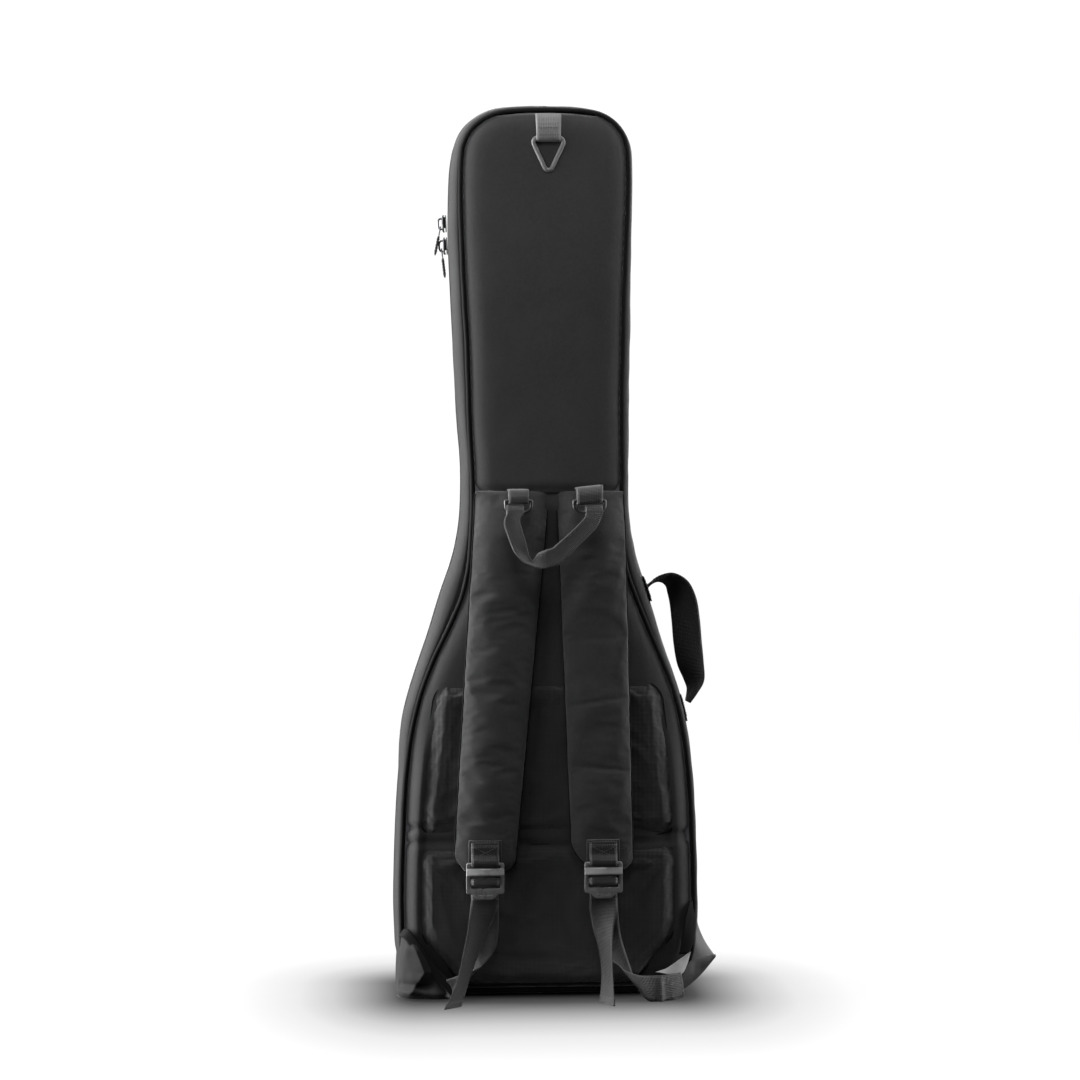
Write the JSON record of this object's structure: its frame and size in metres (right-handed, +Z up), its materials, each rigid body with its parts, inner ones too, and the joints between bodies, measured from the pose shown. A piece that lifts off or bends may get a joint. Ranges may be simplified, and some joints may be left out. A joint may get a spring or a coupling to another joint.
{
  "type": "padded gig bag",
  "caption": "Padded backpack-style gig bag for an electric guitar, with zipped lid, piped panels, shoulder straps, haul loop, side carry handle and front pockets.",
  "frame": {"origin": "middle of the base, on the floor the bag stands on", "axes": "+Z up along the bag's length, +Y towards the zipped lid, -Y towards the shoulder straps, +X towards the carry handle"},
  "size_m": [0.3789, 0.204, 1.0398],
  "materials": {
    "cover_fabric": "matt woven nylon",
    "gusset_fabric": "matt woven nylon",
    "mesh_fabric": "matt air mesh",
    "piping": "satin",
    "webbing": "satin woven webbing",
    "foam": "matt closed-cell foam",
    "lining": "short plush",
    "zipper": "matt",
    "zip_metal": "satin gunmetal",
    "buckle_plastic": "satin",
    "ring_plastic": "satin",
    "ring_metal": "satin",
    "base_rubber": "matt"
  },
  "bodies": {
    "bag": {"back_foam": "foam", "back_lining": "lining", "back_pad_lower": "mesh_fabric", "back_pad_upper": "mesh_fabric", "back_panel_lower": "cover_fabric", "back_panel_upper": "cover_fabric", "back_piping": "piping", "base_panel": "base_rubber", "corner_wing_left": "webbing", "corner_wing_right": "webbing", "end_bumper": "foam", "gusset_foam": "foam", "gusset_left": "gusset_fabric", "gusset_lining": "lining", "gusset_right": "gusset_fabric", "handle_anchor_lower": "webbing", "handle_anchor_upper": "webbing", "hang_tab": "webbing", "haul_tab_left": "webbing", "haul_tab_right": "webbing", "lower_webbing_left": "webbing", "lower_webbing_right": "webbing", "neck_cradle": "foam", "strap_anchor_left": "cover_fabric", "strap_anchor_right": "cover_fabric", "zipper_track_bag": "zipper"},
    "lid": {"front_panel": "cover_fabric", "front_foam": "foam", "front_lining": "lining", "front_gusset": "gusset_fabric", "front_piping": "piping", "zipper_track_lid": "zipper", "front_base_panel": "base_rubber", "pocket_wall": "gusset_fabric", "pocket_zipper_track": "zipper", "neck_pocket": "cover_fabric"},
    "pocket_cover": {"pocket_cover": "cover_fabric"},
    "main_slider_upper": {"main_slider_upper": "zip_metal"},
    "main_pull_upper": {"main_pull_upper": "zip_metal"},
    "main_slider_lower": {"main_slider_lower": "zip_metal"},
    "main_pull_lower": {"main_pull_lower": "zip_metal"},
    "pocket_slider": {"pocket_slider": "zip_metal"},
    "pocket_pull": {"pocket_pull": "zip_metal"},
    "neck_pocket_slider": {"neck_pocket_slider": "zip_metal"},
    "neck_pocket_pull": {"neck_pocket_pull": "zip_metal"},
    "hang_ring": {"hang_ring": "ring_plastic"},
    "haul_rings": {"haul_ring_left": "ring_metal", "haul_ring_right": "ring_metal"},
    "haul_loop": {"haul_loop": "webbing"},
    "carry_handle": {"carry_handle": "webbing"},
    "strap_left": {"shoulder_strap_left": "cover_fabric", "buckle_webbing_left": "webbing"},
    "buckle_left": {"ladder_lock_left": "buckle_plastic", "buckle_thread_left": "webbing"},
    "tail_left": {"strap_tail_left": "webbing"},
    "strap_right": {"shoulder_strap_right": "cover_fabric", "buckle_webbing_right": "webbing"},
    "buckle_right": {"ladder_lock_right": "buckle_plastic", "buckle_thread_right": "webbing"},
    "tail_right": {"strap_tail_right": "webbing"}
  },
  "joints": [
    {"name": "lid_hinge", "type": "hinge", "parent": "bag", "child": "lid", "pos_m": [0.1796, 0.02, 0.16], "axis": [0, 0, -1], "range_deg": [0, 150]},
    {"name": "pocket_cover_hinge", "type": "hinge", "parent": "lid", "child": "pocket_cover", "pos_m": [0, 0.0663, 0.045], "axis": [-1, 0, 0], "range_deg": [0, 100]},
    {"name": "main_slider_upper_slide", "type": "slide", "parent": "bag", "child": "main_slider_upper", "axis": [-0.0476, 0, 0.9989], "range_m": [0, 0.01]},
    {"name": "main_pull_upper_hinge", "type": "hinge", "parent": "main_slider_upper", "child": "main_pull_upper", "pos_m": [-0.12235, 0.02, 0.90117], "axis": [0, 1, 0], "range_deg": [0, 110]},
    {"name": "main_slider_lower_slide", "type": "slide", "parent": "bag", "child": "main_slider_lower", "axis": [-0.0476, 0, 0.9989], "range_m": [-0.07, 0]},
    {"name": "main_pull_lower_hinge", "type": "hinge", "parent": "main_slider_lower", "child": "main_pull_lower", "pos_m": [-0.12111, 0.02, 0.87517], "axis": [0, 1, 0], "range_deg": [0, 40]},
    {"name": "pocket_slider_slide", "type": "slide", "parent": "lid", "child": "pocket_slider", "axis": [1, 0, 0], "range_m": [-0.135, 0.008]},
    {"name": "pocket_pull_hinge", "type": "hinge", "parent": "pocket_slider", "child": "pocket_pull", "pos_m": [0.0615, 0.065, 0.3388], "axis": [0, 1, 0], "range_deg": [0, 140]},
    {"name": "neck_pocket_slider_slide", "type": "slide", "parent": "lid", "child": "neck_pocket_slider", "axis": [0, 0, 1], "range_m": [-0.2, 0.012]},
    {"name": "neck_pocket_pull_hinge", "type": "hinge", "parent": "neck_pocket_slider", "child": "neck_pocket_pull", "pos_m": [-0.04, 0.0558, 0.8865], "axis": [1, 0, 0], "range_deg": [0, 140]},
    {"name": "hang_ring_hinge", "type": "hinge", "parent": "bag", "child": "hang_ring", "pos_m": [0, -0.0512, 0.999], "axis": [-1, 0, 0], "range_deg": [0, 130]},
    {"name": "haul_rings_hinge", "type": "hinge", "parent": "bag", "child": "haul_rings", "pos_m": [0, -0.0725, 0.58], "axis": [-1, 0, 0], "range_deg": [0, 100]},
    {"name": "haul_loop_hinge", "type": "hinge", "parent": "haul_rings", "child": "haul_loop", "pos_m": [0, -0.0725, 0.566], "axis": [-1, 0, 0], "range_deg": [0, 80]},
    {"name": "carry_handle_hinge", "type": "hinge", "parent": "bag", "child": "carry_handle", "pos_m": [0.144, -0.016, 0.407], "axis": [0.3162, 0, -0.9487], "range_deg": [-12, 10]},
    {"name": "strap_swing_left", "type": "hinge", "parent": "bag", "child": "strap_left", "pos_m": [0, -0.065, 0.492], "axis": [-1, 0, 0], "range_deg": [0, 15], "deforming": ["lower_webbing_left"]},
    {"name": "buckle_hinge_left", "type": "hinge", "parent": "strap_left", "child": "buckle_left", "pos_m": [-0.0745, -0.07, 0.16], "axis": [-1, 0, 0], "range_deg": [0, 60]},
    {"name": "tail_hinge_left", "type": "hinge", "parent": "buckle_left", "child": "tail_left", "pos_m": [-0.0745, -0.067, 0.1178], "axis": [-1, 0, 0], "range_deg": [0, 60]},
    {"name": "strap_swing_right", "type": "hinge", "parent": "bag", "child": "strap_right", "pos_m": [0, -0.065, 0.492], "axis": [-1, 0, 0], "range_deg": [0, 15], "deforming": ["lower_webbing_right"]},
    {"name": "buckle_hinge_right", "type": "hinge", "parent": "strap_right", "child": "buckle_right", "pos_m": [0.0627, -0.07, 0.16], "axis": [-1, 0, 0], "range_deg": [0, 60]},
    {"name": "tail_hinge_right", "type": "hinge", "parent": "buckle_right", "child": "tail_right", "pos_m": [0.0627, -0.067, 0.1178], "axis": [-1, 0, 0], "range_deg": [0, 60]}
  ]
}
